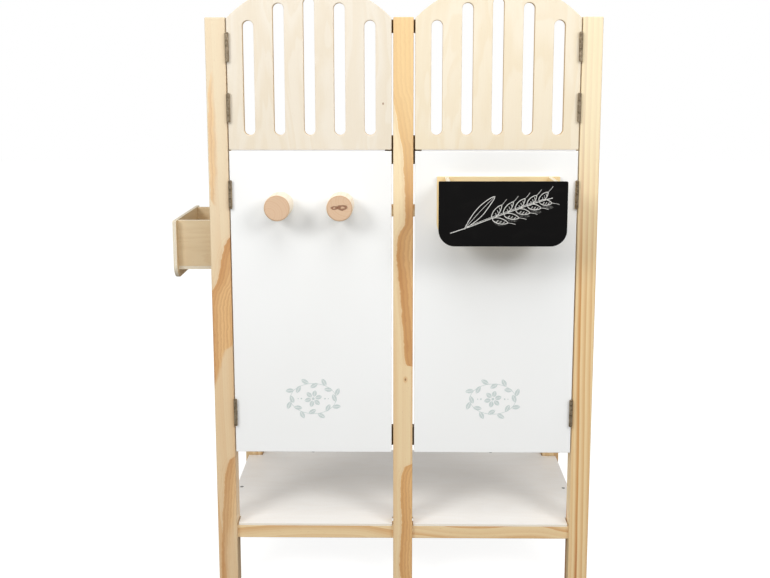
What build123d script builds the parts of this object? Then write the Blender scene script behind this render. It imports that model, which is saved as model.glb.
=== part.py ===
from build123d import *
import os

# Hobby horse stable: a timber stand with two stalls, each closed by a Dutch door.
# Millimetres. X runs to the right, Y to the back and Z up. The origin is the middle
# of the front centre post's foot, so the stalls lie either side of X = 0.

# Posts
frame_width = 700
frame_depth = 380
post_size = 36
front_post_height = 1070
rear_post_height = 700
post_edge_round = 2
post_top_chamfer = 1.5
foot_chamfer = 1

# Rails
rail_thickness = 22
rail_height = 25
lower_rail_bottom = 97
upper_rail_drop = 10
rail_edge_round = 1.5

# Dowels in the rail ends
dowel_diameter = 8
dowel_length = 25
dowel_end_gap = 0.5
dowel_end_chamfer = 1
dowel_fit = 0.05

# Floor board
floor_thickness = 4
floor_notch_clearance = 2
floor_screw_row_y = 154
floor_screw_length = 18
back_screw_x = 200

# Doors
door_thickness = 12
hinge_side_gap = 2
latch_side_gap = 3
split_height = 836
split_gap = 2.4
lower_door_height = 563.6
upper_door_side_height = 231
arch_rise = 61
door_edge_round = 1.2
door_corner_round = 2

# Slots of the upper doors
slot_count = 5
slot_width = 20
slot_pitch = 53.7
slot_border = 26

# Butt hinges
hinge_length = 50
knuckle_count = 5
knuckle_gap = 0.3
barrel_radius = 3.3
barrel_clearance = 0.3
pin_radius = 1.4
pin_fit = 0.05
pin_head_radius = 2.4
pin_head_height = 0.8
leaf_thickness = 0.8
leaf_depth = 10.5
leaf_screw_offset = 17
lower_hinge_inset = 78
upper_hinge_low = 75
upper_hinge_high = 181

# Countersunk screws: head radius, head height, shank radius
hinge_screw_head = 2.1
hinge_screw_sink = 0.8
hinge_screw_radius = 1
hinge_screw_length = 11
wood_screw_head = 3.6
wood_screw_sink = 2.4
wood_screw_radius = 1.8
screw_fit = 0.05
screw_tip = 2

# Magnetic catches on the centre post
catch_width = 15
catch_depth = 14
catch_edge_round = 1
upper_catch_length = 23
upper_catch_drop = 2
middle_catch_length = 51
lower_catch_length = 36
lower_catch_lift = 9
magnet_width = 6
magnet_depth = 5
magnet_proud = 0.4
magnet_end_margin = 5
magnet_fit = 0.1
keeper_thickness = 1
keeper_width = 10
keeper_margin = 1.5
keeper_gap = 0.4

# Pegs on the left lower door
peg_diameter = 47
peg_length = 54
peg_spacing = 109.6
peg_drop = 97
peg_edge_round = 2.5
peg_screw_bite = 24

# Feed boxes
box_width = 220
box_height = 112
box_depth = 90
box_board = 7
box_floor_board = 6
box_body_width = 192
box_wall_height = 94
box_rim_drop = 1
box_corner_round = 28
box_top_corner_round = 2
box_edge_round = 0.8
box_screw_drop = 21.5
box_screw_spacing = 120
box_screw_length = 16
right_box_drop = 46
right_box_offset = 3.5
left_box_rise = 9
left_box_centre_y = 155

os.makedirs("parts", exist_ok=True)

# Places worked out from the sizes above
half_post = post_size / 2
front_y = -half_post
post_x = frame_width / 2 - half_post
rear_post_y = frame_depth - post_size
inner_x = post_x - half_post
lower_rail_top = lower_rail_bottom + rail_height
upper_rail_bottom = rear_post_height - upper_rail_drop - rail_height
floor_top = lower_rail_top + floor_thickness
half_rail = rail_thickness / 2

door_outer_x = inner_x - hinge_side_gap
door_inner_x = half_post + latch_side_gap
door_centre_x = (door_outer_x + door_inner_x) / 2
door_width = door_outer_x - door_inner_x
door_back_y = front_y + door_thickness
lower_door_top = split_height - split_gap / 2
lower_door_bottom = lower_door_top - lower_door_height
upper_door_bottom = split_height + split_gap / 2
upper_door_side_top = upper_door_bottom + upper_door_side_height

hinge_x = inner_x - barrel_radius
hinge_y = front_y - barrel_radius - barrel_clearance
knuckle_pitch = hinge_length / knuckle_count
leaf_back_y = front_y + leaf_depth
leaf_screw_y = front_y + door_thickness / 2
upper_hinge_heights = [upper_door_bottom + upper_hinge_low, upper_door_bottom + upper_hinge_high]
lower_hinge_heights = [lower_door_bottom + lower_hinge_inset, lower_door_top - lower_hinge_inset]

# Left is -1 and right is +1 along X
sides = {"left": -1, "right": 1}

written = []


def save(piece, name):
    piece.part.label = name
    export_step(piece.part, f"parts/{name}.step")
    written.append(name)


def outer_edges(piece, axis):
    """Edges round the two end faces of a board along one axis."""
    faces = piece.faces().sort_by(axis)
    return faces[0].edges() + faces[-1].edges()


# A countersunk screw lies along one direction from the point where its head is flush
def screw_profile(point, direction, head, sink, radius, length, fit=0):
    across = Vector(0, 0, 1) if abs(Vector(direction).Z) < 0.5 else Vector(0, 1, 0)
    plane = Plane(origin=point, x_dir=direction, z_dir=across)
    with BuildSketch(plane) as profile:
        with BuildLine():
            Polyline(
                (0, 0),
                (0, head + fit),
                (sink, radius + fit),
                (length + fit - screw_tip, radius + fit),
                (length + fit, 0),
                close=True,
            )
        make_face()
    return profile.sketch


def add_screw(point, direction, head, sink, radius, length):
    profile = screw_profile(point, direction, head, sink, radius, length)
    revolve(profile, axis=Axis(point, direction))


def cut_screw_hole(point, direction, head, sink, radius, length):
    profile = screw_profile(point, direction, head, sink, radius, length, screw_fit)
    revolve(profile, axis=Axis(point, direction), mode=Mode.SUBTRACT)


# Rails: name, run along X or Y, start, end, place across, bottom
front_gap_y = half_post
rails = [
    ("front_left_rail", "x", -inner_x, -half_post, 0, lower_rail_bottom),
    ("front_right_rail", "x", half_post, inner_x, 0, lower_rail_bottom),
    ("left_floor_rail", "y", front_gap_y, rear_post_y - half_post, -post_x, lower_rail_bottom),
    ("right_floor_rail", "y", front_gap_y, rear_post_y - half_post, post_x, lower_rail_bottom),
    ("centre_floor_rail", "y", front_gap_y, rear_post_y - half_rail, 0, lower_rail_bottom),
    ("back_floor_rail", "x", -inner_x, inner_x, rear_post_y, lower_rail_bottom),
    ("upper_left_rail", "y", front_gap_y, rear_post_y - half_post, -post_x, upper_rail_bottom),
    ("upper_right_rail", "y", front_gap_y, rear_post_y - half_post, post_x, upper_rail_bottom),
    ("upper_back_rail", "x", -inner_x, inner_x, rear_post_y, upper_rail_bottom),
]

# One dowel at the middle of each rail end, half in the rail and half in what it meets
dowels_along_x = []
dowels_along_y = []
for name, run, start, end, across, bottom in rails:
    middle = bottom + rail_height / 2
    for place in (start, end):
        if run == "x":
            dowels_along_x.append((place, across, middle))
        else:
            dowels_along_y.append((across, place, middle))


def drill_dowel_holes():
    hole_radius = dowel_diameter / 2 + dowel_fit
    hole_length = dowel_length + 2 * dowel_end_gap
    with Locations(*dowels_along_x):
        Cylinder(hole_radius, hole_length, rotation=(0, 90, 0), mode=Mode.SUBTRACT)
    with Locations(*dowels_along_y):
        Cylinder(hole_radius, hole_length, rotation=(90, 0, 0), mode=Mode.SUBTRACT)


# Screw places that more than one piece shares
def leaf_screw_points(side, heights, face_x):
    offsets = (-leaf_screw_offset, leaf_screw_offset)
    return [(side * face_x, leaf_screw_y, z + offset) for z in heights for offset in offsets]


all_hinge_heights = upper_hinge_heights + lower_hinge_heights
floor_screw_points = [
    (-post_x, floor_screw_row_y, floor_top),
    (0, floor_screw_row_y, floor_top),
    (post_x, floor_screw_row_y, floor_top),
    (-back_screw_x, rear_post_y, floor_top),
    (back_screw_x, rear_post_y, floor_top),
]
wood_screw = (wood_screw_head, wood_screw_sink, wood_screw_radius)
hinge_screw = (hinge_screw_head, hinge_screw_sink, hinge_screw_radius)
down = (0, 0, -1)

# The plane that each feed box stands on, with its local Y up and its normal outwards
right_box_x = door_centre_x + right_box_offset
right_box_top = split_height - right_box_drop
left_box_top = upper_rail_bottom + rail_height + left_box_rise
left_rail_face_x = -post_x - half_rail
right_box_plane = Plane(origin=(right_box_x, front_y, right_box_top), x_dir=(1, 0, 0), z_dir=(0, -1, 0))
left_box_plane = Plane(
    origin=(left_rail_face_x, left_box_centre_y, left_box_top), x_dir=(0, -1, 0), z_dir=(-1, 0, 0)
)
box_planes = {"right": right_box_plane, "left": left_box_plane}


def box_screw_points(plane):
    """Head points of a box's two screws, flush with the inner face of its back board."""
    half = box_screw_spacing / 2
    return [plane.from_local_coords((x, -box_screw_drop, box_board)) for x in (-half, half)]


peg_x_places = [-door_centre_x - peg_spacing / 2, -door_centre_x + peg_spacing / 2]
peg_height = split_height - peg_drop
peg_screw_length = door_thickness + peg_screw_bite


# Posts: the front three carry the doors, the rear two end at the upper rails
def make_post(name, x, y, height, hinge_side=0):
    with BuildPart() as post:
        with BuildSketch():
            with Locations((x, y)):
                RectangleRounded(post_size, post_size, post_edge_round)
        extrude(amount=height)
        chamfer(post.faces().sort_by(Axis.Z)[-1].edges(), post_top_chamfer)
        chamfer(post.faces().sort_by(Axis.Z)[0].edges(), foot_chamfer)
        drill_dowel_holes()
        if hinge_side:
            outwards = (hinge_side, 0, 0)
            for point in leaf_screw_points(hinge_side, all_hinge_heights, inner_x - leaf_thickness):
                cut_screw_hole(point, outwards, *hinge_screw, hinge_screw_length)
    save(post, name)


make_post("front_left_post", -post_x, 0, front_post_height, hinge_side=-1)
make_post("front_centre_post", 0, 0, front_post_height)
make_post("front_right_post", post_x, 0, front_post_height, hinge_side=1)
make_post("rear_left_post", -post_x, rear_post_y, rear_post_height)
make_post("rear_right_post", post_x, rear_post_y, rear_post_height)


def make_rail(name, run, start, end, across, bottom):
    if run == "x":
        centre = ((start + end) / 2, across)
        size = (end - start, rail_thickness)
        long_axis = Axis.X
    else:
        centre = (across, (start + end) / 2)
        size = (rail_thickness, end - start)
        long_axis = Axis.Y
    with BuildPart() as rail:
        with BuildSketch(Plane.XY.offset(bottom)):
            with Locations(centre):
                Rectangle(*size)
        extrude(amount=rail_height)
        fillet(rail.edges().filter_by(long_axis), rail_edge_round)
        drill_dowel_holes()
        for point in floor_screw_points:
            cut_screw_hole(point, down, *wood_screw, floor_screw_length)
        if name == "upper_left_rail":
            for point in box_screw_points(left_box_plane):
                cut_screw_hole(point, (1, 0, 0), *wood_screw, box_screw_length)
    save(rail, name)


for rail_values in rails:
    make_rail(*rail_values)

with BuildPart() as rail_dowels:
    with Locations(*dowels_along_x):
        Cylinder(dowel_diameter / 2, dowel_length, rotation=(0, 90, 0))
    with Locations(*dowels_along_y):
        Cylinder(dowel_diameter / 2, dowel_length, rotation=(90, 0, 0))
    chamfer(rail_dowels.edges().filter_by(GeomType.CIRCLE), dowel_end_chamfer)
save(rail_dowels, "rail_dowels")

# Floor board: lies on the rails, cut out round the five posts
floor_front_y = -half_rail
floor_back_y = rear_post_y + half_rail
with BuildPart() as floor_board:
    with BuildSketch(Plane.XY.offset(lower_rail_top)):
        with Locations((0, (floor_front_y + floor_back_y) / 2)):
            Rectangle(2 * (post_x + half_rail), floor_back_y - floor_front_y)
        notch = post_size + 2 * floor_notch_clearance
        with Locations((-post_x, 0), (0, 0), (post_x, 0), (-post_x, rear_post_y), (post_x, rear_post_y)):
            Rectangle(notch, notch, mode=Mode.SUBTRACT)
    extrude(amount=floor_thickness)
    for point in floor_screw_points:
        cut_screw_hole(point, down, *wood_screw, floor_screw_length)
save(floor_board, "floor_board")

with BuildPart() as floor_screws:
    for point in floor_screw_points:
        add_screw(point, down, *wood_screw, floor_screw_length)
save(floor_screws, "floor_screws")


# Doors
def cut_door_edge_screws(side, heights):
    for point in leaf_screw_points(side, heights, door_outer_x + leaf_thickness):
        cut_screw_hole(point, (-side, 0, 0), *hinge_screw, hinge_screw_length)


front_plane = Plane.XZ.offset(-front_y)
arch_radius = (door_width**2 / 4 + arch_rise**2) / (2 * arch_rise)
arch_centre_z = upper_door_side_top + arch_rise - arch_radius
slot_bottom = upper_door_bottom + slot_border


left_x = -door_outer_x
right_x = -door_inner_x
middle_x = -door_centre_x
slot_end_radius = arch_radius - slot_border - slot_width / 2
with BuildPart() as left_upper_door:
    with BuildSketch(front_plane) as outline:
        with BuildLine():
            Polyline(
                (left_x, upper_door_side_top),
                (left_x, upper_door_bottom),
                (right_x, upper_door_bottom),
                (right_x, upper_door_side_top),
            )
            ThreePointArc(
                (right_x, upper_door_side_top),
                (middle_x, upper_door_side_top + arch_rise),
                (left_x, upper_door_side_top),
            )
        make_face()
        fillet(outline.vertices(), door_corner_round)
    extrude(amount=-door_thickness)
    with BuildSketch(front_plane):
        for index in range(slot_count):
            across = (index - (slot_count - 1) / 2) * slot_pitch
            slot_top = arch_centre_z + (slot_end_radius**2 - across**2) ** 0.5 + slot_width / 2
            with Locations((middle_x + across, (slot_top + slot_bottom) / 2)):
                SlotOverall(slot_top - slot_bottom, slot_width, rotation=90)
    extrude(amount=-door_thickness, mode=Mode.SUBTRACT)
    fillet(outer_edges(left_upper_door, Axis.Y), door_edge_round)
    cut_door_edge_screws(-1, upper_hinge_heights)
save(left_upper_door, "left_upper_door")

with BuildPart() as right_upper_door:
    mirror(left_upper_door.part, about=Plane.YZ)
save(right_upper_door, "right_upper_door")


def make_lower_door(name, side):
    with BuildPart() as door:
        with BuildSketch(front_plane):
            with Locations((side * door_centre_x, (lower_door_top + lower_door_bottom) / 2)):
                Rectangle(door_width, lower_door_height)
        extrude(amount=-door_thickness)
        fillet(outer_edges(door, Axis.Y), door_edge_round)
        cut_door_edge_screws(side, lower_hinge_heights)
        if side < 0:
            for x in peg_x_places:
                cut_screw_hole((x, door_back_y, peg_height), (0, -1, 0), *wood_screw, peg_screw_length)
        else:
            for point in box_screw_points(right_box_plane):
                cut_screw_hole(point, (0, 1, 0), *wood_screw, box_screw_length)
    save(door, name)


for side_name, side in sides.items():
    make_lower_door(f"{side_name}_lower_door", side)


# Hinges: the post leaf has the odd knuckles and the door leaf the even ones
def make_leaves(name, side, heights, plate_x, screw_face_x, screw_side, knuckles):
    with BuildPart() as leaves:
        for height in heights:
            low = height - hinge_length / 2
            with BuildSketch(Plane.XY.offset(low)) as plate:
                with Locations((side * plate_x, (front_y + leaf_back_y) / 2)):
                    Rectangle(leaf_thickness, leaf_back_y - front_y)
            extrude(plate.sketch, amount=hinge_length)
            for knuckle in knuckles:
                start = low + knuckle * knuckle_pitch + knuckle_gap / 2
                with BuildSketch(Plane.XY.offset(start)) as wrap:
                    with Locations((side * hinge_x, hinge_y)):
                        Circle(barrel_radius)
                    with Locations((side * plate_x, (hinge_y + front_y) / 2)):
                        Rectangle(leaf_thickness, front_y - hinge_y)
                extrude(wrap.sketch, amount=knuckle_pitch - knuckle_gap)
            with Locations((side * hinge_x, hinge_y, height)):
                Cylinder(pin_radius + pin_fit, 2 * hinge_length, mode=Mode.SUBTRACT)
        for point in leaf_screw_points(side, heights, screw_face_x):
            cut_screw_hole(point, (screw_side * side, 0, 0), *hinge_screw, hinge_screw_length)
    save(leaves, name)


def make_pins(name, side, heights):
    with BuildPart() as pins:
        for height in heights:
            low = height - hinge_length / 2
            for z, radius, length in (
                (low - pin_head_height, pin_head_radius, pin_head_height),
                (low, pin_radius, hinge_length),
                (low + hinge_length, pin_head_radius, pin_head_height),
            ):
                with BuildSketch(Plane.XY.offset(z)) as section:
                    with Locations((side * hinge_x, hinge_y)):
                        Circle(radius)
                extrude(section.sketch, amount=length)
    save(pins, name)


def make_leaf_screws(name, side, heights, face_x, screw_side):
    with BuildPart() as screws:
        for point in leaf_screw_points(side, heights, face_x):
            add_screw(point, (screw_side * side, 0, 0), *hinge_screw, hinge_screw_length)
    save(screws, name)


post_leaf_x = inner_x - leaf_thickness / 2
door_leaf_x = door_outer_x + leaf_thickness / 2
post_screw_face = inner_x - leaf_thickness
door_screw_face = door_outer_x + leaf_thickness
odd_knuckles = range(0, knuckle_count, 2)
even_knuckles = range(1, knuckle_count, 2)
for side_name, side in sides.items():
    for level, heights in (("upper", upper_hinge_heights), ("lower", lower_hinge_heights)):
        label = f"{side_name}_{level}_hinge"
        make_leaves(f"{label}_post_leaves", side, heights, post_leaf_x, post_screw_face, 1, odd_knuckles)
        make_leaves(f"{label}_door_leaves", side, heights, door_leaf_x, door_screw_face, -1, even_knuckles)
        make_pins(f"{label}_pins", side, heights)
        make_leaf_screws(f"{label}_door_screws", side, heights, door_screw_face, -1)

with BuildPart() as hinge_post_screws:
    for side in sides.values():
        for point in leaf_screw_points(side, all_hinge_heights, post_screw_face):
            add_screw(point, (side, 0, 0), *hinge_screw, hinge_screw_length)
save(hinge_post_screws, "hinge_post_screws")

# Magnetic catches: low end and length of each, with the span of its magnets
upper_catch_top = upper_door_side_top - upper_catch_drop
upper_catch_low = upper_catch_top - upper_catch_length
middle_catch_low = split_height - middle_catch_length / 2
lower_catch_low = lower_door_bottom + lower_catch_lift
catches = [
    (upper_catch_low, upper_catch_length),
    (middle_catch_low, middle_catch_length),
    (lower_catch_low, lower_catch_length),
]
half_middle = middle_catch_length / 2
magnet_spans = [
    ("upper", upper_catch_low, upper_catch_length),
    ("upper", split_height, half_middle),
    ("lower", middle_catch_low, half_middle),
    ("lower", lower_catch_low, lower_catch_length),
]
keeper_back_y = door_back_y + keeper_thickness
magnet_front_y = keeper_back_y + keeper_gap
catch_front_y = magnet_front_y + magnet_proud
keeper_x = door_inner_x + keeper_margin + keeper_width / 2


def block(x, y_low, y_high, z_low, width, height, mode=Mode.ADD, grow=0):
    """A block centred on x, standing on z_low, with an even allowance on its sides."""
    with BuildSketch(Plane.XY.offset(z_low - grow)) as foot:
        with Locations((x, (y_low + y_high) / 2)):
            Rectangle(width + 2 * grow, y_high - y_low + grow * 2)
    extrude(foot.sketch, amount=height + 2 * grow, mode=mode)


with BuildPart() as catch_housings:
    for side in sides.values():
        for low, length in catches:
            x = side * (half_post + catch_width / 2)
            block(x, catch_front_y, catch_front_y + catch_depth, low, catch_width, length)
    fillet(catch_housings.edges().filter_by(Axis.Z), catch_edge_round)
    for side in sides.values():
        for level, low, length in magnet_spans:
            size = length - 2 * magnet_end_margin
            place = (side * keeper_x, magnet_front_y, magnet_front_y + magnet_depth)
            block(*place, low + magnet_end_margin, magnet_width, size, Mode.SUBTRACT, magnet_fit)
save(catch_housings, "catch_housings")

with BuildPart() as catch_magnets:
    for side in sides.values():
        for level, low, length in magnet_spans:
            size = length - 2 * magnet_end_margin
            place = (side * keeper_x, magnet_front_y, magnet_front_y + magnet_depth)
            block(*place, low + magnet_end_margin, magnet_width, size)
save(catch_magnets, "catch_magnets")

for side_name, side in sides.items():
    for door_level in ("upper", "lower"):
        with BuildPart() as keeper_plates:
            for level, low, length in magnet_spans:
                if level == door_level:
                    size = length - 2 * magnet_end_margin
                    place = (side * keeper_x, door_back_y, keeper_back_y)
                    block(*place, low + magnet_end_margin, keeper_width, size)
        save(keeper_plates, f"{side_name}_{door_level}_keeper_plates")

# Pegs
for peg_name, x in zip(("left_bridle_peg", "right_bridle_peg"), peg_x_places):
    with BuildPart() as peg:
        with BuildSketch(front_plane):
            with Locations((x, peg_height)):
                Circle(peg_diameter / 2)
        extrude(amount=peg_length)
        fillet(peg.faces().sort_by(Axis.Y)[0].edges(), peg_edge_round)
        cut_screw_hole((x, door_back_y, peg_height), (0, -1, 0), *wood_screw, peg_screw_length)
    save(peg, peg_name)

with BuildPart() as peg_screws:
    for x in peg_x_places:
        add_screw((x, door_back_y, peg_height), (0, -1, 0), *wood_screw, peg_screw_length)
save(peg_screws, "peg_screws")


# Feed boxes
def make_box_face(name, plane, start, screw_points=()):
    with BuildPart() as board:
        with BuildSketch(plane.offset(start)) as outline:
            with Locations((0, -box_height / 2)):
                Rectangle(box_width, box_height)
            corners = outline.vertices().group_by(Axis.Y)
            fillet(corners[0], box_corner_round)
            fillet(outline.vertices().group_by(Axis.Y)[-1], box_top_corner_round)
        extrude(amount=box_board)
        normal = Axis(plane.origin, plane.z_dir)
        fillet(outer_edges(board, normal), box_edge_round)
        for point in screw_points:
            cut_screw_hole(point, -plane.z_dir, *wood_screw, box_screw_length)
    save(board, name)


def make_box_wall(name, plane, sign):
    wall_bottom = -box_rim_drop - box_wall_height + box_floor_board
    with BuildPart() as wall:
        with BuildSketch(plane.offset(box_board)):
            with Locations((sign * (box_body_width - box_board) / 2, (wall_bottom - box_rim_drop) / 2)):
                Rectangle(box_board, -box_rim_drop - wall_bottom)
        extrude(amount=box_depth - 2 * box_board)
        fillet(wall.edges().filter_by(Axis(plane.origin, plane.z_dir)), box_edge_round)
    save(wall, name)


def make_box_bottom(name, plane):
    centre_y = -box_rim_drop - box_wall_height + box_floor_board / 2
    with BuildPart() as bottom:
        with BuildSketch(plane.offset(box_board)):
            with Locations((0, centre_y)):
                Rectangle(box_body_width, box_floor_board)
        extrude(amount=box_depth - 2 * box_board)
    save(bottom, name)


for side_name, plane in box_planes.items():
    label = f"{side_name}_feed_box"
    screw_points = box_screw_points(plane)
    make_box_face(f"{label}_back_board", plane, 0, screw_points)
    make_box_face(f"{label}_front_board", plane, box_depth - box_board)
    make_box_wall(f"{label}_left_wall", plane, -1)
    make_box_wall(f"{label}_right_wall", plane, 1)
    make_box_bottom(f"{label}_bottom_board", plane)
    with BuildPart() as box_screws:
        for point in screw_points:
            add_screw(point, -plane.z_dir, *wood_screw, box_screw_length)
    save(box_screws, f"{label}_screws")

print(len(written), "sub-parts written")
print("floor top", floor_top, "arch top", upper_door_side_top + arch_rise)
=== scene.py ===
import math

import bmesh
import bpy
from mathutils import Matrix, Vector


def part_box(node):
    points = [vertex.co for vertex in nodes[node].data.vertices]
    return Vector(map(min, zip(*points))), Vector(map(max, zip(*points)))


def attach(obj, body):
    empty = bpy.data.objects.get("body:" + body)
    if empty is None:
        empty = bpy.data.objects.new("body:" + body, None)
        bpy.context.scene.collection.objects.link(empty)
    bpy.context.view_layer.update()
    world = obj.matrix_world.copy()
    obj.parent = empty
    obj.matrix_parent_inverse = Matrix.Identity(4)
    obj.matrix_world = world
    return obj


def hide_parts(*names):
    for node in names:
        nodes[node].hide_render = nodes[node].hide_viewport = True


# Stable for hobby horses. The timber, doors, hinges and boxes are the frame's own solids with
# finishes made here. The cross-head screws, the printed wreaths and the chalk oats are new pieces.
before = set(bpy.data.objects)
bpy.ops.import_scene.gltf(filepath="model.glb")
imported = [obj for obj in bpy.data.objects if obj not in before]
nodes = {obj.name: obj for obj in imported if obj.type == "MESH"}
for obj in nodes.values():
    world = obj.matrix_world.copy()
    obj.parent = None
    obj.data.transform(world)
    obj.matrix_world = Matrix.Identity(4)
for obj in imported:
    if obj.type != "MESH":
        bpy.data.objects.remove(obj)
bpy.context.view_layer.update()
scene = bpy.context.scene
print("frame loaded:", len(nodes), "nodes")


def paint(code):
    # a web colour as Blender's linear colour
    parts = [int(code[i:i + 2], 16) / 255 for i in (1, 3, 5)]
    linear = [c / 12.92 if c <= 0.04045 else ((c + 0.055) / 1.055) ** 2.4 for c in parts]
    return (*linear, 1.0)


def feed(tree, value, socket):
    # an output socket is linked, anything else is set as the input's own value
    if isinstance(value, bpy.types.NodeSocket):
        tree.links.new(value, socket)
    elif isinstance(value, str):
        socket.default_value = paint(value)
    else:
        socket.default_value = value


def feedAll(tree, values, sockets):
    # one value for each socket in turn
    for value, socket in zip(values, sockets):
        feed(tree, value, socket)


def addMath(tree, operation, *values):
    node = tree.nodes.new("ShaderNodeMath")
    node.operation = operation
    feedAll(tree, values, node.inputs)
    return node.outputs[0]


def times(tree, first, second):
    return addMath(tree, "MULTIPLY", first, second)


def plus(tree, first, second):
    return addMath(tree, "ADD", first, second)


def minus(tree, first, second):
    return addMath(tree, "SUBTRACT", first, second)


def addVector(tree, operation, *values):
    node = tree.nodes.new("ShaderNodeVectorMath")
    node.operation = operation
    feedAll(tree, values, node.inputs)
    return node.outputs["Value"] if operation in ("LENGTH", "DOT_PRODUCT") else node.outputs[0]


def addDistance(tree, vector, centre, stretch):
    # how far a point lies from the centre, each axis stretched first
    apart = addVector(tree, "SUBTRACT", vector, centre)
    return addVector(tree, "LENGTH", addVector(tree, "MULTIPLY", apart, stretch))


def addNoise(tree, vector, stretch=(1, 1, 1), scale=1.0, detail=2.0, rough=0.5, twist=0.0):
    # stretch squeezes the pattern along each axis before the noise reads it
    place = addVector(tree, "MULTIPLY", vector, stretch)
    node = tree.nodes.new("ShaderNodeTexNoise")
    values = {"Vector": place, "Scale": scale, "Detail": detail, "Roughness": rough, "Distortion": twist}
    for label, value in values.items():
        feed(tree, value, node.inputs[label])
    return node.outputs


def addRange(tree, value, low, high, toLow=0.0, toHigh=1.0, smooth=True):
    node = tree.nodes.new("ShaderNodeMapRange")
    node.interpolation_type = "SMOOTHSTEP" if smooth else "LINEAR"
    feedAll(tree, (value, low, high, toLow, toHigh), node.inputs)
    return node.outputs[0]


def addBand(tree, value, low, high, fall, gone):
    # up from low to high, and down again from fall to gone
    return times(tree, addRange(tree, value, low, high), addRange(tree, value, fall, gone, 1.0, 0.0))


def addCurve(tree, value, points):
    # a curve through points of (input, output), both from 0 to 1
    node = tree.nodes.new("ShaderNodeFloatCurve")
    line = node.mapping.curves[0].points
    line[0].location = points[0]
    line[1].location = points[-1]
    for point in points[1:-1]:
        line.new(*point)
    for point in line:
        point.handle_type = "AUTO_CLAMPED"
    node.mapping.update()
    feed(tree, value, node.inputs["Value"])
    return node.outputs[0]


def addMix(tree, factor, first, second, blend="MIX"):
    node = tree.nodes.new("ShaderNodeMix")
    node.data_type = "RGBA"
    node.blend_type = blend
    feed(tree, factor, node.inputs[0])
    feed(tree, first, node.inputs[6])
    feed(tree, second, node.inputs[7])
    return node.outputs[2]


def addTint(tree, mask, amount, colour, code, blend="MIX"):
    # a colour is laid over another, by an amount of a mask
    return addMix(tree, times(tree, mask, amount), colour, code, blend)


def addParts(tree, vector):
    node = tree.nodes.new("ShaderNodeSeparateXYZ")
    feed(tree, vector, node.inputs[0])
    return node.outputs


def addFacing(tree, axis):
    # how squarely a face lies across an axis
    normal = tree.nodes.new("ShaderNodeTexCoord").outputs["Normal"]
    return addMath(tree, "ABSOLUTE", addParts(tree, normal)[axis])


def joinParts(tree, *parts):
    node = tree.nodes.new("ShaderNodeCombineXYZ")
    feedAll(tree, parts, node.inputs)
    return node.outputs[0]


def newGroup(name, numbers, masks):
    # a place and some numbers go in, and masks come out
    tree = bpy.data.node_groups.new(name, "ShaderNodeTree")
    tree.interface.new_socket("Vector", in_out="INPUT", socket_type="NodeSocketVector")
    for label, value in numbers.items():
        socket = tree.interface.new_socket(label, in_out="INPUT", socket_type="NodeSocketFloat")
        socket.default_value = value
    for label in masks:
        tree.interface.new_socket(label, in_out="OUTPUT", socket_type="NodeSocketFloat")
    return tree, tree.nodes.new("NodeGroupInput").outputs, tree.nodes.new("NodeGroupOutput").inputs


def useGroup(tree, group, **values):
    # a value is named for its socket, with the spaces left out
    node = tree.nodes.new("ShaderNodeGroup")
    node.node_tree = group
    for socket in node.inputs:
        key = socket.name.replace(" ", "")
        if key in values:
            feed(tree, values[key], socket)
    return node.outputs


def makeWoodRings():
    # growth rings round the local Z axis, with fibres and pores along it; lengths in metres
    numbers = {"Drift": 0.0, "Ring Width": 0.01, "Wander": 0.003, "Phase": 0.0, "Seed": 0.0}
    tree, given, result = newGroup("wood rings", numbers, ("Late", "Fibre", "Tone", "Pores"))
    shift = joinParts(tree, times(tree, given["Seed"], 3.17), given["Seed"], 0.0)
    moved = addVector(tree, "ADD", given["Vector"], shift)
    bend = addNoise(tree, moved, (9, 9, 3.2), detail=3, rough=0.45)
    sway = addVector(tree, "SUBTRACT", bend["Color"], (0.5, 0.5, 0.5))
    sway = addVector(tree, "MULTIPLY", sway, joinParts(tree, given["Wander"], given["Wander"], 0.0))
    bent = addVector(tree, "ADD", given["Vector"], sway)
    flat = addVector(tree, "MULTIPLY", bent, (1, 1, 0))
    reach = plus(tree, addVector(tree, "LENGTH", flat), given["Drift"])
    ragged = addNoise(tree, moved, (260, 260, 12), detail=3)
    reach = plus(tree, reach, times(tree, ragged[0], 0.0012))
    ring = addMath(tree, "DIVIDE", reach, given["Ring Width"])
    part = addMath(tree, "FRACT", ring)
    number = addMath(tree, "FLOOR", ring)
    # each ring has a strength of its own
    turn = plus(tree, times(tree, number, 2.3), given["Phase"])
    strength = addMath(tree, "MULTIPLY_ADD", addMath(tree, "SINE", turn), 0.38, 0.62)
    late = times(tree, addBand(tree, part, 0.15, 0.93, 0.95, 1.0), strength)
    # finer seasons inside each ring, seen close up
    fine = addBand(tree, addMath(tree, "FRACT", times(tree, ring, 5.0)), 0.2, 0.95, 0.96, 1.0)
    late = plus(tree, times(tree, late, 0.86), times(tree, fine, 0.14))
    fibre = addNoise(tree, moved, (1500, 1500, 26), detail=4, rough=0.62)
    tone = addNoise(tree, moved, (16, 16, 3.5), detail=3)
    pores = addNoise(tree, moved, (2400, 2400, 130), detail=1)
    tone = addRange(tree, tone[0], 0.32, 0.68)
    feedAll(tree, (late, fibre[0], tone, addRange(tree, pores[0], 0.68, 0.76)), result)
    return tree


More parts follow.
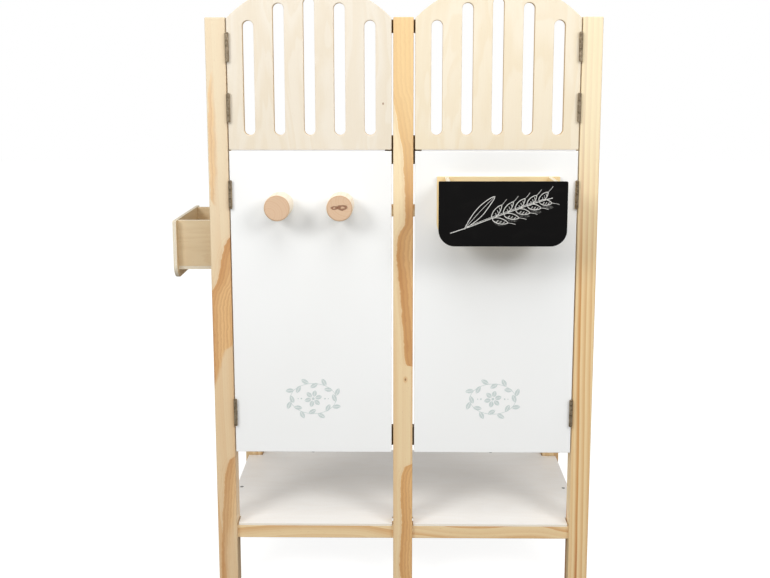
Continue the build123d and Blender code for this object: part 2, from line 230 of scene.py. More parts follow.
def makeVeneer():
    # the calm, cloudy figure of peeled birch, with its grain along local Z
    tree, given, result = newGroup("birch veneer", {"Seed": 0.0}, ("Figure", "Fibre", "Fleck"))
    shift = joinParts(tree, given["Seed"], times(tree, given["Seed"], 1.7), given["Seed"])
    moved = addVector(tree, "ADD", given["Vector"], shift)
    cloud = addNoise(tree, moved, (11, 11, 2.6), detail=3, twist=0.5)
    lines = addBand(tree, addMath(tree, "FRACT", times(tree, cloud[0], 9.0)), 0.1, 0.8, 0.86, 1.0)
    soft = addRange(tree, cloud[0], 0.3, 0.7)
    figure = plus(tree, times(tree, lines, 0.5), times(tree, soft, 0.5))
    fibre = addNoise(tree, moved, (1100, 1100, 30), detail=4, rough=0.6)
    fleck = addNoise(tree, moved, (1500, 1500, 190), detail=1)
    feedAll(tree, (figure, fibre[0], addRange(tree, fleck[0], 0.70, 0.77)), result)
    return tree


def makePlyEdge():
    # the layers of plywood on its cut edges; depth runs from 0 to 1 through the board
    numbers = {"Depth": 0.5, "Facing": 0.0, "Layers": 5.0}
    tree, given, result = newGroup("plywood edge", numbers, ("Edge", "Cross", "Glue"))
    wave = addNoise(tree, given["Vector"], (22, 22, 22))
    lift = times(tree, minus(tree, wave[0], 0.5), 0.06)
    place = times(tree, plus(tree, given["Depth"], lift), given["Layers"])
    odd = addMath(tree, "MODULO", addMath(tree, "FLOOR", place), 2.0)
    step = addMath(tree, "FRACT", place)
    fromBelow = addRange(tree, step, 0.0, 0.14, 1.0, 0.0)
    glue = addMath(tree, "MAXIMUM", addRange(tree, step, 0.86, 1.0), fromBelow)
    grit = addNoise(tree, given["Vector"], (900, 900, 900), detail=3)
    cross = times(tree, odd, addRange(tree, grit[0], 0.3, 0.65, 0.6, 1.0))
    feedAll(tree, (addRange(tree, given["Facing"], 0.5, 0.85, 1.0, 0.0), cross, glue), result)
    return tree


def makeEdgeWear():
    # bright where corners are rubbed, broken up by noise
    tree, given, result = newGroup("edge wear", {"Radius": 0.0005, "Seed": 0.0}, ("Wear", "Grime"))
    rounded = tree.nodes.new("ShaderNodeBevel")
    rounded.samples = 6
    feed(tree, given["Radius"], rounded.inputs["Radius"])
    plain = tree.nodes.new("ShaderNodeNewGeometry")
    bend = addVector(tree, "DOT_PRODUCT", rounded.outputs[0], plain.outputs["Normal"])
    moved = addVector(tree, "ADD", given["Vector"], joinParts(tree, given["Seed"], 0.0, 0.0))
    patch = addNoise(tree, moved, (700, 700, 700), detail=4)
    rubbed = addRange(tree, bend, 0.99, 0.86)
    rubbed = times(tree, rubbed, addRange(tree, patch[0], 0.35, 0.6))
    cloud = addNoise(tree, moved, (190, 190, 190), detail=5, rough=0.6)
    feedAll(tree, (rubbed, addRange(tree, cloud[0], 0.35, 0.7)), result)
    return tree


woodRings = makeWoodRings()
veneer = makeVeneer()
plyEdge = makePlyEdge()
edgeWear = makeEdgeWear()
print("shared effects made")


def newMaterial(name):
    material = bpy.data.materials.new(name.replace("_", " "))
    material.use_nodes = True
    tree = material.node_tree
    place = tree.nodes.new("ShaderNodeTexCoord").outputs["Object"]
    return material, tree, tree.nodes["Principled BSDF"].inputs, place


def turned(tree, place, centre=(0, 0, 0), turn=(0, 0, 0)):
    # centre is the pattern's own origin and turn, in degrees, lays its Z along the grain
    mapping = tree.nodes.new("ShaderNodeMapping")
    mapping.vector_type = "TEXTURE"
    feed(tree, place, mapping.inputs["Vector"])
    mapping.inputs["Location"].default_value = centre
    mapping.inputs["Rotation"].default_value = [math.radians(a) for a in turn]
    return mapping.outputs[0]


def addFinish(tree, shader, colour, pattern, low, high, reach=(0.3, 0.7)):
    # the roughness goes from low to high as the pattern passes through its reach
    feed(tree, colour, shader["Base Color"])
    feed(tree, addRange(tree, pattern, *reach, low, high), shader["Roughness"])


def addBump(tree, shader, height, distance, strength=0.5):
    bump = tree.nodes.new("ShaderNodeBump")
    bump.inputs["Distance"].default_value = distance
    bump.inputs["Strength"].default_value = strength
    feed(tree, height, bump.inputs["Height"])
    feed(tree, bump.outputs[0], shader["Normal"])


def dress(material, *names):
    # the finish goes into every slot of the frame's own nodes
    for name in names:
        for materialSlot in nodes[name].material_slots:
            materialSlot.material = material


pine = {"pale": "#f1d8ac", "tan": "#d6a063", "rust": "#b9794a", "fibre": "#e9d5b2",
        "heart": "#e4b272", "heartDeep": "#c68d50", "heartPale": "#efc78d"}
postHeight = 1.07
tongueStart = -10  # how far to the left of a post its tongues' curves may reach, in millimetres
tongueSpan = 60


def addTongue(tree, place, look, corner, seed):
    # how far inside a tongue of darker wood a point lies, from its left and its right edge;
    # the curves give heights in metres and places across the post in millimetres
    x, y, z = addParts(tree, place)
    across = minus(tree, x, corner[0])
    inwards = minus(tree, y, corner[1])
    across = addMath(tree, "MULTIPLY_ADD", inwards, look["lean"], across)
    moved = addVector(tree, "ADD", place, (seed, 0, 0))
    wave = addNoise(tree, moved, (90, 90, 70), detail=5, rough=0.62)
    across = addMath(tree, "MULTIPLY_ADD", minus(tree, wave[0], 0.5), 0.0075, across)
    height = addMath(tree, "DIVIDE", z, postHeight)
    edges = []
    for side in ("left", "right"):
        points = [(up / postHeight, (over - tongueStart) / tongueSpan) for up, over in look[side]]
        line = addCurve(tree, height, points)
        edges.append(addMath(tree, "MULTIPLY_ADD", line, tongueSpan / 1000, tongueStart / 1000))
    return minus(tree, across, edges[0]), minus(tree, edges[1], across)


def addRise(tree, place, look, colour):
    # paler wood towards the top: two heights, how much of it there is at most, and its colour
    if "rise" not in look:
        return colour
    low, high, most, code = look["rise"]
    height = addParts(tree, place)[2]
    return addMix(tree, addRange(tree, height, low, high, 0.0, most), colour, code)


def addHeart(tree, place, look, corner, seed, colour, rings):
    # one tongue of darker wood, with growth lines that follow its left edge
    fromLeft, fromRight = addTongue(tree, place, look, corner, seed)
    soft = addRange(tree, rings["Tone"], 0.2, 1.0, 0.0003, 0.0020)
    inside = addRange(tree, fromLeft, times(tree, soft, -1.0), soft)
    inside = times(tree, inside, addRange(tree, fromRight, -0.0008, look["fade"]))
    season = addMath(tree, "DIVIDE", fromLeft, look["season"])
    season = addMath(tree, "FRACT", addMath(tree, "MULTIPLY_ADD", rings["Fibre"], 0.25, season))
    line = addBand(tree, season, 0.2, 0.9, 0.93, 1.0)
    heart = addMix(tree, rings["Tone"], look.get("colour", pine["heart"]), pine["heartDeep"])
    heart = addMix(tree, addRange(tree, fromLeft, 0.004, 0.024, 0.0, 0.7), heart, pine["heartPale"])
    heart = addTint(tree, line, 0.42, heart, pine["rust"])
    heart = addRise(tree, place, look, heart)
    colour = addTint(tree, inside, look.get("depth", 0.9), colour, heart)
    # fainter lines in the pale wood outside it
    near = times(tree, line, addRange(tree, fromLeft, -0.016, -0.001, 0.0, look.get("outside", 0.22)))
    near = times(tree, near, addRange(tree, fromLeft, -0.001, 0.0, 1.0, 0.0))
    return addMix(tree, near, colour, pine["tan"])


def pineMaterial(name, look):
    material, tree, shader, place = newMaterial(name)
    grain = turned(tree, place, look["axis"], look.get("turn", (0, 0, 0)))
    # the drift curve moves the rings along the timber
    along = addParts(tree, grain)[2]
    share = addRange(tree, along, look["from"], look["to"], smooth=False)
    drift = times(tree, addCurve(tree, share, look["drift"]), 0.04)
    rings = useGroup(tree, woodRings, Vector=grain, Drift=drift, RingWidth=look["ring"],
                     Wander=look.get("wander", 0.006), Phase=look.get("phase", 0.0), Seed=look["seed"])
    lateness = times(tree, rings["Late"], look.get("strength", 1.0))
    colour = addMix(tree, lateness, look.get("pale", pine["pale"]), pine["tan"])
    deep = addRange(tree, lateness, 0.62, 1.0, 0.0, 0.75)
    colour = addTint(tree, deep, rings["Tone"], colour, pine["rust"])
    colour = addRise(tree, place, look, colour)
    for count, patch in enumerate(look.get("hearts", ())):
        colour = addHeart(tree, place, patch, look["corner"], look["seed"] + count, colour, rings)
    colour = addTint(tree, rings["Fibre"], 0.34, colour, pine["fibre"], "MULTIPLY")
    colour = addTint(tree, rings["Pores"], 0.3, colour, "#a9784c")
    for spot in look.get("pinKnots", ()):
        # a pin knot: a dark eye with a tan halo
        apart = addDistance(tree, place, spot["at"], (1, 0.15, 0.6))
        halo = addRange(tree, apart, spot["size"], spot["size"] * 3, 0.55, 0.0)
        colour = addMix(tree, halo, colour, pine["tan"])
        eye = addRange(tree, apart, spot["size"] * 0.5, spot["size"], 0.8, 0.0)
        colour = addMix(tree, eye, colour, "#6f4526")
    addFinish(tree, shader, colour, rings["Fibre"], 0.40, 0.56, (0.2, 0.8))
    shader["Coat Weight"].default_value = 0.12
    shader["Coat Roughness"].default_value = 0.35
    relief = minus(tree, times(tree, rings["Fibre"], 0.6), rings["Pores"])
    addBump(tree, shader, plus(tree, relief, times(tree, lateness, 0.5)), 0.00012)
    return material


# tongues of heartwood: each edge is a curve of (height, place across the post);
# beyondPost is an edge that lies off the post over its whole height
beyondPost = [(0, 50), (postHeight, 50)]
leftHearts = [
    {"lean": 0.6, "fade": 0.008, "season": 0.0062, "colour": "#d6a369",
     "left": [(0, -8), (0.53, -8), (0.60, 12), (0.64, 20), (0.675, 31), (0.70, 50), (1.07, 50)],
     "right": [(0, -9), (0.343, -4), (0.42, 12), (0.468, 27), (0.5, 50), (1.07, 50)]},
    {"lean": 0.7, "fade": 0.022, "season": 0.0055, "colour": "#d6ae7c",
     "left": [(0, 3), (0.15, 10), (0.22, 16), (0.255, 25), (0.29, 50), (1.07, 50)],
     "right": [(0, 24), (0.08, 28), (0.16, 44), (0.3, 50), (1.07, 50)]},
    {"lean": 0.8, "fade": 0.010, "season": 0.0070, "colour": "#f2c98f", "depth": 0.6, "outside": 0.0,
     "left": [(0, 50), (0.70, 50), (0.75, 3), (0.88, 2), (0.97, 8), (1.02, 50), (1.07, 50)],
     "right": [(0, 8), (0.74, 14), (0.82, 19), (0.97, 14), (1.07, 8)]},
]
centreHearts = [
    {"lean": 0.4, "fade": 0.004, "season": 0.0080,
     "rise": (0.62, 0.98, 0.62, "#fadca4"),
     "left": [(0, 50), (0.432, 50), (0.44, 23), (0.50, 18.5), (0.61, 9), (0.645, 6), (0.69, 13),
              (0.712, 21.6), (0.83, 17), (0.86, 12), (0.882, 8.5), (0.90, 5), (0.925, 0), (0.95, -6),
              (1.07, -9)],
     "right": beyondPost},
    {"lean": 0.5, "fade": 0.004, "season": 0.0060, "colour": "#dfac6c",
     "left": [(0, 17), (0.052, 12.6), (0.13, 16), (0.19, 13.6), (0.242, 22), (0.266, 50), (1.07, 50)],
     "right": beyondPost},
]

# where each kind of timber starts and ends, and which way its grain is laid
frontPost = {"from": 0, "to": postHeight}
rearPost = {"from": 0, "to": 0.7}
sideRail = {"turn": (-90, 0, 0), "from": 0.018, "to": 0.326}
backRail = {"turn": (0, 90, 0), "from": -0.314, "to": 0.314}

# drift points are (share of the length, share of 40 mm), from the foot up
pineLooks = {
    "front_left_post": {
        **frontPost, "corner": (-0.35, -0.018), "axis": (-0.45, 0.16, 0), "ring": 0.0125, "phase": 2.6,
        "seed": 1.3, "drift": [(0, 0.0), (0.26, 0.25), (0.50, 0.34), (0.62, 0.54), (0.78, 0.6), (1, 0.66)],
        "strength": 0.5, "hearts": leftHearts, "pale": "#e8cfa9", "rise": (0.36, 0.92, 0.68, "#eee3ca"),
    },
    "front_centre_post": {
        **frontPost, "corner": (-0.018, -0.018), "axis": (0.16, 0.13, 0), "ring": 0.0115, "phase": 2.6,
        "seed": 4.1, "drift": [(0, 0.42), (0.24, 0.53), (0.4, 0.53), (0.587, 0.36), (0.762, 0.46), (1, 0.34)],
        "strength": 0.42, "hearts": centreHearts, "pale": "#f0d9b0", "rise": (0.58, 0.86, 0.72, "#fff1cf"),
        "pinKnots": [{"at": (0.0046, -0.018, 0.412), "size": 0.0018}],
    },
    "front_right_post": {
        "axis": (0.20, 0.012, 0), **frontPost, "ring": 0.0098, "phase": 0.4, "seed": 7.7,
        "drift": [(0, 0.30), (0.3, 0.38), (0.6, 0.47), (1, 0.5)], "wander": 0.004, "strength": 1.35,
        "pale": "#f3dbac", "rise": (0.54, 0.94, 0.74, "#fbf2d4"),
    },
    "rear_left_post": {
        "axis": (-0.36, 0.30, 0), **rearPost, "ring": 0.0095, "phase": 1.0, "seed": 9.2,
        "drift": [(0, 0.1), (0.4, 0.42), (0.7, 0.5), (1, 0.8)],
    },
    "rear_right_post": {
        "axis": (0.37, 0.41, 0), **rearPost, "ring": 0.0088, "phase": 3.0, "seed": 12.9,
        "drift": [(0, 0.7), (0.3, 0.35), (0.6, 0.4), (1, 0.1)],
    },
    "front_left_rail": {
        "axis": (0, 0.03, 0.085), "turn": (0, 90, 0), "from": -0.314, "to": -0.018, "ring": 0.012,
        "phase": 2.0, "seed": 15.5, "strength": 0.75,
        "drift": [(0, 0.5), (0.35, 0.36), (0.7, 0.34), (1, 0.52)],
    },
    "front_right_rail": {
        "axis": (0, 0.02, 0.14), "turn": (0, 90, 0), "from": 0.018, "to": 0.314, "ring": 0.008, "phase": 0.9,
        "seed": 18.1, "drift": [(0, 0.6), (0.4, 0.42), (0.75, 0.5), (1, 0.3)], "strength": 0.85,
    },
    "left_floor_rail": {
        "axis": (-0.36, 0, 0.14), **sideRail, "ring": 0.009, "phase": 1.1, "seed": 21.4,
        "drift": [(0, 0.4), (0.5, 0.6), (1, 0.5)],
    },
    "right_floor_rail": {
        "axis": (0.35, 0, 0.15), **sideRail, "ring": 0.0085, "phase": 0.2, "seed": 24.8,
        "drift": [(0, 0.6), (0.5, 0.45), (1, 0.55)],
    },
    "centre_floor_rail": {
        "axis": (0.01, 0, 0.15), "turn": (-90, 0, 0), "from": 0.018, "to": 0.333, "ring": 0.01, "phase": 2.2,
        "seed": 27.3, "drift": [(0, 0.5), (0.5, 0.4), (1, 0.6)],
    },
    "back_floor_rail": {
        "axis": (0, 0.37, 0.08), **backRail, "ring": 0.0095, "phase": 1.6, "seed": 30.6,
        "drift": [(0, 0.3), (0.3, 0.5), (0.6, 0.42), (1, 0.7)],
    },
    "upper_left_rail": {
        "axis": (-0.36, 0, 0.66), **sideRail, "ring": 0.0092, "phase": 2.9, "seed": 33.9,
        "drift": [(0, 0.5), (0.5, 0.62), (1, 0.5)],
    },
    "upper_right_rail": {
        "axis": (0.36, 0, 0.70), **sideRail, "ring": 0.0088, "phase": 0.7, "seed": 37.0,
        "drift": [(0, 0.45), (0.5, 0.35), (1, 0.5)],
    },
    "upper_back_rail": {
        "axis": (0, 0.39, 0.65), **backRail, "ring": 0.0098, "phase": 1.9, "seed": 40.2,
        "drift": [(0, 0.6), (0.35, 0.42), (0.7, 0.5), (1, 0.3)],
    },
}
for name, look in pineLooks.items():
    dress(pineMaterial("pine " + name, look), name)
print("timber dressed:", len(pineLooks), "pieces")


# boards: axis is the one through the board's thickness, from its low face to its high one
boardLooks = {
    "left_upper_door": {
        "axis": 1, "layers": 9, "turn": (0, 0, 0), "seed": 2.1, "face": "#ece5d8", "shade": "#e1d3ba",
        "pinKnots": [{"at": (-0.036, -0.018, 0.919), "size": 0.0014}],
    },
    "right_upper_door": {
        "axis": 1, "layers": 9, "turn": (0, 0, 0), "seed": 5.6, "face": "#f2e9d6", "shade": "#e8d7b6",
    },
    "floor_board": {
        "axis": 2, "layers": 3, "turn": (0, 90, 0), "seed": 8.3, "face": "#fbfbfa", "shade": "#f6f4f1",
        "edge": "#f8f4ea", "cross": "#ebe0cb", "glue": 0.15,
    },
}
boxLooks = {"right": {"across": 1, "wall": 0, "boardTurn": (0, 90, 0), "wallTurn": (90, 0, 0), "seed": 11.0,
                      "face": "#f3dfb2", "shade": "#e6c992"},
            "left": {"across": 0, "wall": 1, "boardTurn": (90, 0, 0), "wallTurn": (0, 90, 0), "seed": 28.0,
                     "face": "#e6d3b0", "shade": "#d6bc93"}}
for boxSide, run in boxLooks.items():
    thickness = {"back_board": run["across"], "left_wall": run["wall"], "right_wall": run["wall"],
                 "bottom_board": 2, "front_board": run["across"]}
    for count, (board, axis) in enumerate(thickness.items()):
        if (boxSide, board) != ("right", "front_board"):
            boardLooks[boxSide + "_feed_box_" + board] = {
                "axis": axis, "layers": 5, "turn": run["wallTurn" if axis == run["wall"] else "boardTurn"],
                "seed": run["seed"] + 3.3 * count, "face": run["face"], "shade": run["shade"],
                "edge": "#efe8d6", "cross": "#ddcfb2", "glue": 0.2,
            }


def boardDepth(tree, place, name, axis):
    # how deep in the board a point is, and how squarely its face lies across the board
    low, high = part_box(name)
    depth = addRange(tree, addParts(tree, place)[axis], low[axis], high[axis], smooth=False)
    return depth, addFacing(tree, axis)


def boardMaterial(name, look):
    material, tree, shader, place = newMaterial("birch " + name)
    grain = turned(tree, place, turn=look["turn"])
    sheet = useGroup(tree, veneer, Vector=grain, Seed=look["seed"])
    depth, facing = boardDepth(tree, place, name, look["axis"])
    layers = useGroup(tree, plyEdge, Vector=place, Depth=depth, Facing=facing,
                      Layers=float(look["layers"]))
    face = addTint(tree, sheet["Figure"], 0.6, look["face"], look["shade"])
    face = addTint(tree, sheet["Fibre"], 0.22, face, "#e8d3ae", "MULTIPLY")
    face = addTint(tree, sheet["Fleck"], 0.30, face, "#b98d5d")
    for spot in look.get("pinKnots", ()):
        apart = addDistance(tree, place, spot["at"], (1, 0.15, 0.7))
        eye = addRange(tree, apart, spot["size"] * 0.5, spot["size"] * 1.6, 0.8, 0.0)
        face = addMix(tree, eye, face, "#8a5c36")
    edge = addMix(tree, layers["Cross"], look.get("edge", "#e9d2a6"), look.get("cross", "#c39a66"))
    edge = addTint(tree, layers["Glue"], look.get("glue", 0.45), edge, "#8d6238")
    feed(tree, addMix(tree, layers["Edge"], face, edge), shader["Base Color"])
    rough = addRange(tree, sheet["Fibre"], 0.2, 0.8, 0.42, 0.55)
    feed(tree, addMath(tree, "MULTIPLY_ADD", layers["Edge"], 0.2, rough), shader["Roughness"])
    shader["Coat Weight"].default_value = 0.08
    shader["Coat Roughness"].default_value = 0.4
    relief = plus(tree, sheet["Fibre"], times(tree, layers["Glue"], -1.0))
    addBump(tree, shader, relief, 0.00008)
    return material


for name, look in boardLooks.items():
    dress(boardMaterial(name, look), name)
print("boards dressed:", len(boardLooks), "pieces")


whiteDoor = {"colour": "#fafbfb", "warm": "#f4f4f2", "rough": 0.34}


def whiteDoorMaterial():
    # sprayed white: a fine orange peel, a little cloud in the gloss
    material, tree, shader, place = newMaterial("white sprayed board")
    cloud = addNoise(tree, place, (5, 5, 3), detail=3)
    wear = useGroup(tree, edgeWear, Vector=place, Radius=0.0012, Seed=3.0)
    colour = addMix(tree, cloud[0], whiteDoor["colour"], whiteDoor["warm"])
    colour = addTint(tree, wear["Wear"], 0.25, colour, "#dccfb6")
    addFinish(tree, shader, colour, cloud[0], whiteDoor["rough"], whiteDoor["rough"] + 0.08)
    peel = addNoise(tree, place, (420, 420, 420))
    addBump(tree, shader, peel[0], 0.00006, 0.35)
    return material


dress(whiteDoorMaterial(), "left_lower_door", "right_lower_door")

chalkBoard = {"colour": "#070606", "dust": "#7d7b75", "dustAmount": 0.04, "gloss": 0.12}


def chalkBoardMaterial():
    # dull black paint, faintly wiped
    material, tree, shader, place = newMaterial("black board paint")
    wiped = addNoise(tree, place, (16, 16, 42), detail=4, rough=0.6, twist=0.6)
    grit = addNoise(tree, place, (1400, 1400, 1400))
    dust = addRange(tree, wiped[0], 0.42, 0.78)
    dust = times(tree, dust, addRange(tree, grit[0], 0.35, 0.7))
    dust = times(tree, dust, chalkBoard["dustAmount"])
    colour = addMix(tree, dust, chalkBoard["colour"], chalkBoard["dust"])
    addFinish(tree, shader, colour, wiped[0], 0.62, 0.8)
    shader["Specular IOR Level"].default_value = chalkBoard["gloss"]
    addBump(tree, shader, grit[0], 0.00008, 0.4)
    return material


dress(chalkBoardMaterial(), "right_feed_box_front_board")

pegLooks = {
    "left_bridle_peg": {"centre": (-0.2213, 0.0, 0.739), "pith": (-0.236, 0, 0.728), "seed": 3.0},
    # its knot is two loops side by side: place from the peg's middle, then how wide and how tall
    "right_bridle_peg": {"centre": (-0.1117, 0.0, 0.739), "pith": (-0.098, 0, 0.752), "seed": 6.0,
                         "knots": [(-0.0088, 0.0004, 0.0052, 0.0026), (0.0052, 0.0010, 0.0080, 0.0040)]},
}
pegColours = {"side": "#faf0de", "sideRing": "#e8d3ad", "cap": "#dec0a2", "capRing": "#cfa582",
              "rim": "#bb916e", "knot": "#7d4a30"}


def pegMaterial(name, look):
    # turned along its grain: rings and a warm tint on the end, cream along the side
    material, tree, shader, place = newMaterial("turned " + name)
    grain = turned(tree, place, look["pith"], (-90, 0, 0))
    rings = useGroup(tree, woodRings, Vector=grain, Drift=0.0, RingWidth=0.0042, Wander=0.004,
                     Phase=look["seed"], Seed=look["seed"])
    end = addRange(tree, addFacing(tree, 1), 0.6, 0.95)
    offset = addVector(tree, "SUBTRACT", place, look["centre"])
    away = addDistance(tree, place, look["centre"], (1, 0, 1))
    ringShare = times(tree, rings["Late"], 0.4)
    side = addMix(tree, ringShare, pegColours["side"], pegColours["sideRing"])
    cap = addMix(tree, ringShare, pegColours["cap"], pegColours["capRing"])
    cap = addMix(tree, addRange(tree, away, 0.0195, 0.0228, 0.0, 0.6), cap, pegColours["rim"])
    colour = addMix(tree, end, side, cap)
    for x, z, wide, tall in look.get("knots", ()):
        wave = addNoise(tree, place, (170, 0, 170))
        bent = addVector(tree, "SUBTRACT", wave["Color"], (0.5, 0.5, 0.5))
        bent = addVector(tree, "ADD", offset, addVector(tree, "MULTIPLY", bent, (0.006, 0, 0.005)))
        apart = addDistance(tree, bent, (x, 0, z), (1 / wide, 0, 1 / tall))
        loop = times(tree, addBand(tree, apart, 0.1, 0.6, 1.0, 1.4), end)
        colour = addTint(tree, loop, 0.8, colour, pegColours["knot"])
    colour = addTint(tree, rings["Fibre"], 0.25, colour, "#e3c8a0", "MULTIPLY")
    addFinish(tree, shader, colour, rings["Fibre"], 0.42, 0.55, (0.2, 0.8))
    # faint circles left by the lathe
    lathe = addMath(tree, "SINE", times(tree, away, 5200.0))
    addBump(tree, shader, lathe, 0.00002, 0.4)
    return material


for name, look in pegLooks.items():
    dress(pegMaterial(name, look), name)

metalLooks = {
    "antique bronze": {"base": "#ad9d86", "dark": "#74654f", "worn": "#d3c3a6", "rough": 0.38,
                       "edge": 0.0005},
    "bronze screw": {"base": "#a08a6a", "dark": "#665138", "worn": "#cfb692", "rough": 0.36, "edge": 0.0003},
    "zinc plate": {"base": "#a3a5a3", "dark": "#747673", "worn": "#cfd1cf", "rough": 0.36, "edge": 0.0003},
    "magnet steel": {"base": "#8d8f91", "dark": "#63656a", "worn": "#c4c6c8", "rough": 0.38, "edge": 0.0004},
    "keeper steel": {"base": "#a5a196", "dark": "#77736a", "worn": "#d0ccc2", "rough": 0.42, "edge": 0.0003},
}


def metalMaterial(name, look):
    material, tree, shader, place = newMaterial(name)
    wear = useGroup(tree, edgeWear, Vector=place, Radius=look["edge"], Seed=len(name) * 1.3)
    brushed = addNoise(tree, place, (2600, 2600, 240), detail=3)
    colour = addMix(tree, wear["Grime"], look["base"], look["dark"])
    colour = addMix(tree, wear["Wear"], colour, look["worn"])
    addFinish(tree, shader, colour, brushed[0], look["rough"] - 0.06, look["rough"] + 0.1)
    shader["Metallic"].default_value = 0.85
    addBump(tree, shader, brushed[0], 0.00003, 0.3)
    return material


metals = {name: metalMaterial(name, look) for name, look in metalLooks.items()}
for side in ("left", "right"):
    for level in ("upper", "lower"):
        hinge = side + "_" + level + "_hinge_"
        dress(metals["antique bronze"], hinge + "post_leaves", hinge + "door_leaves", hinge + "pins")
        dress(metals["keeper steel"], side + "_" + level + "_keeper_plates")
dress(metals["magnet steel"], "catch_magnets")

# the catch housings' brown is partly the plastic's own colour and partly painted shade, the darkness in the
# gap beside the centre post
catchPlasticAndShade = {"colour": "#6d5137", "light": "#8a6a49", "rough": 0.48}


def shadedPlasticMaterial():
    # moulded brown plastic: a fine spark texture, paler where it is rubbed. Its dark brown is partly painted
    # shade, the darkness seen in the narrow gap beside the centre post.
    material, tree, shader, place = newMaterial("brown moulded plastic")
    wear = useGroup(tree, edgeWear, Vector=place, Radius=0.0008, Seed=9.0)
    spark = addNoise(tree, place, (1900, 1900, 1900))
    colour = addTint(tree, wear["Grime"], 0.35, catchPlasticAndShade["colour"], "#594129")
    colour = addTint(tree, wear["Wear"], 0.6, colour, catchPlasticAndShade["light"])
    addFinish(tree, shader, colour, spark[0], catchPlasticAndShade["rough"], catchPlasticAndShade["rough"] + 0.12)
    addBump(tree, shader, spark[0], 0.00005)
    return material


dress(shadedPlasticMaterial(), "catch_housings")


def dowelMaterial():
    material, tree, shader, place = newMaterial("beech dowel")
    fleck = addNoise(tree, place, (900, 900, 900), detail=3)
    shade = addNoise(tree, place, (60, 60, 60))
    colour = addMix(tree, shade[0], "#dcbd94", "#c8a173")
    colour = addMix(tree, addRange(tree, fleck[0], 0.6, 0.7, 0.0, 0.4), colour, "#a07850")
    addFinish(tree, shader, colour, fleck[0], 0.5, 0.65)
    addBump(tree, shader, fleck[0], 0.00006, 0.4)
    return material


dress(dowelMaterial(), "rail_dowels")
print("finishes made:", len(bpy.data.materials), "materials")


def addObject(name, data):
    item = bpy.data.objects.new(name, data)
    scene.collection.objects.link(item)
    return item


def addTo(target, part, matrix):
    # a small bmesh is placed and joined to the piece it belongs to
    bmesh.ops.transform(part, matrix=matrix, verts=part.verts)
    mesh = bpy.data.meshes.new("part")
    part.to_mesh(mesh)
    part.free()
    target.from_mesh(mesh)
    bpy.data.meshes.remove(mesh)


def vertsOf(items):
    # the corners among the items of an operation
    return [item for item in items if isinstance(item, bmesh.types.BMVert)]


def thicken(part, lift):
    # a flat drawing is given a height
    raised = bmesh.ops.extrude_face_region(part, geom=part.faces[:])["geom"]
    bmesh.ops.translate(part, vec=(0, 0, lift), verts=vertsOf(raised))


def standUp(bm, x, y, z):
    # a drawing made flat on the ground is stood up facing the viewer
    stand = Matrix.Translation((x, y, z)) @ Matrix.Rotation(math.radians(90), 4, "X")
    bmesh.ops.transform(bm, matrix=stand, verts=bm.verts)


def finishPiece(name, bm, material, body, smooth=False):
    bmesh.ops.remove_doubles(bm, verts=bm.verts, dist=1e-7)
    bmesh.ops.recalc_face_normals(bm, faces=bm.faces)
    for face in bm.faces:
        face.smooth = smooth
    mesh = bpy.data.meshes.new(name)
    bm.to_mesh(mesh)
    bm.free()
    piece = addObject(name, mesh)
    mesh.materials.append(material)
    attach(piece, body)
    return piece


# Countersunk screws with a cross recess. Lengths in metres.
screwKinds = {
    "hinge": {"head": 0.0021, "sink": 0.0008, "shank": 0.0010, "length": 0.011, "recess": 0.0007,
              "threads": 7, "metal": "bronze screw", "slot": "bronze_screw"},
    "wood": {"head": 0.0036, "sink": 0.0024, "shank": 0.0018, "length": 0.018, "recess": 0.0018,
             "threads": 8, "metal": "zinc plate", "slot": "zinc_screw"},
}
recessLines = (-1.0, -0.56, -0.15, 0.15, 0.56, 1.0)  # grid lines over the head, as shares of its radius


def addScrew(target, kind, point, outwards, turn, length=None):
    size = screwKinds[kind]
    length = length or size["length"]
    part = bmesh.new()
    # the head is a grid whose rim is drawn onto a circle
    bmesh.ops.create_grid(part, x_segments=5, y_segments=5, size=1)
    for vert in part.verts:
        column = round((vert.co.x + 1) * 2.5)
        row = round((vert.co.y + 1) * 2.5)
        vert.co.x = recessLines[column]
        vert.co.y = recessLines[row]
        if column in (0, 5) or row in (0, 5):
            vert.co = vert.co.normalized()
    # its middle cross is pushed in and narrowed
    cross = []
    for face in part.faces:
        middle = face.calc_center_median()
        if min(abs(middle.x), abs(middle.y)) < 0.1 and max(abs(middle.x), abs(middle.y)) < 0.5:
            cross.append(face)
    pushed = bmesh.ops.extrude_face_region(part, geom=cross)["geom"]
    deep = vertsOf(pushed)
    bmesh.ops.scale(part, vec=(0.62, 0.62, 1), verts=deep)
    bmesh.ops.translate(part, vec=(0, 0, -size["recess"] / size["head"]), verts=deep)
    bmesh.ops.scale(part, vec=(size["head"],) * 3, verts=part.verts)
    # the cone, the shank with its thread, and the tip
    rim = [edge for edge in part.edges if edge.is_boundary]
    stations = [(size["sink"], size["shank"])]
    pitch = (length - size["sink"] - 0.002) / size["threads"]
    for index in range(size["threads"]):
        start = size["sink"] + pitch * index
        stations += [(start + pitch * 0.62, size["shank"] * 0.80), (start + pitch, size["shank"])]
    stations.append((length, size["shank"] * 0.06))
    radius = size["head"]
    depth = 0.0
    for down, wide in stations:
        grown = bmesh.ops.extrude_edge_only(part, edges=rim)["geom"]
        verts = vertsOf(grown)
        rim = [item for item in grown if isinstance(item, bmesh.types.BMEdge)]
        bmesh.ops.translate(part, vec=(0, 0, depth - down), verts=verts)
        bmesh.ops.scale(part, vec=(wide / radius, wide / radius, 1), verts=verts)
        radius = wide
        depth = down
    bmesh.ops.holes_fill(part, edges=rim, sides=0)
    aim = Vector(outwards).to_track_quat("Z", "Y").to_matrix().to_4x4()
    matrix = Matrix.Translation(point) @ aim @ Matrix.Rotation(math.radians(turn), 4, "Z")
    addTo(target, part, matrix)


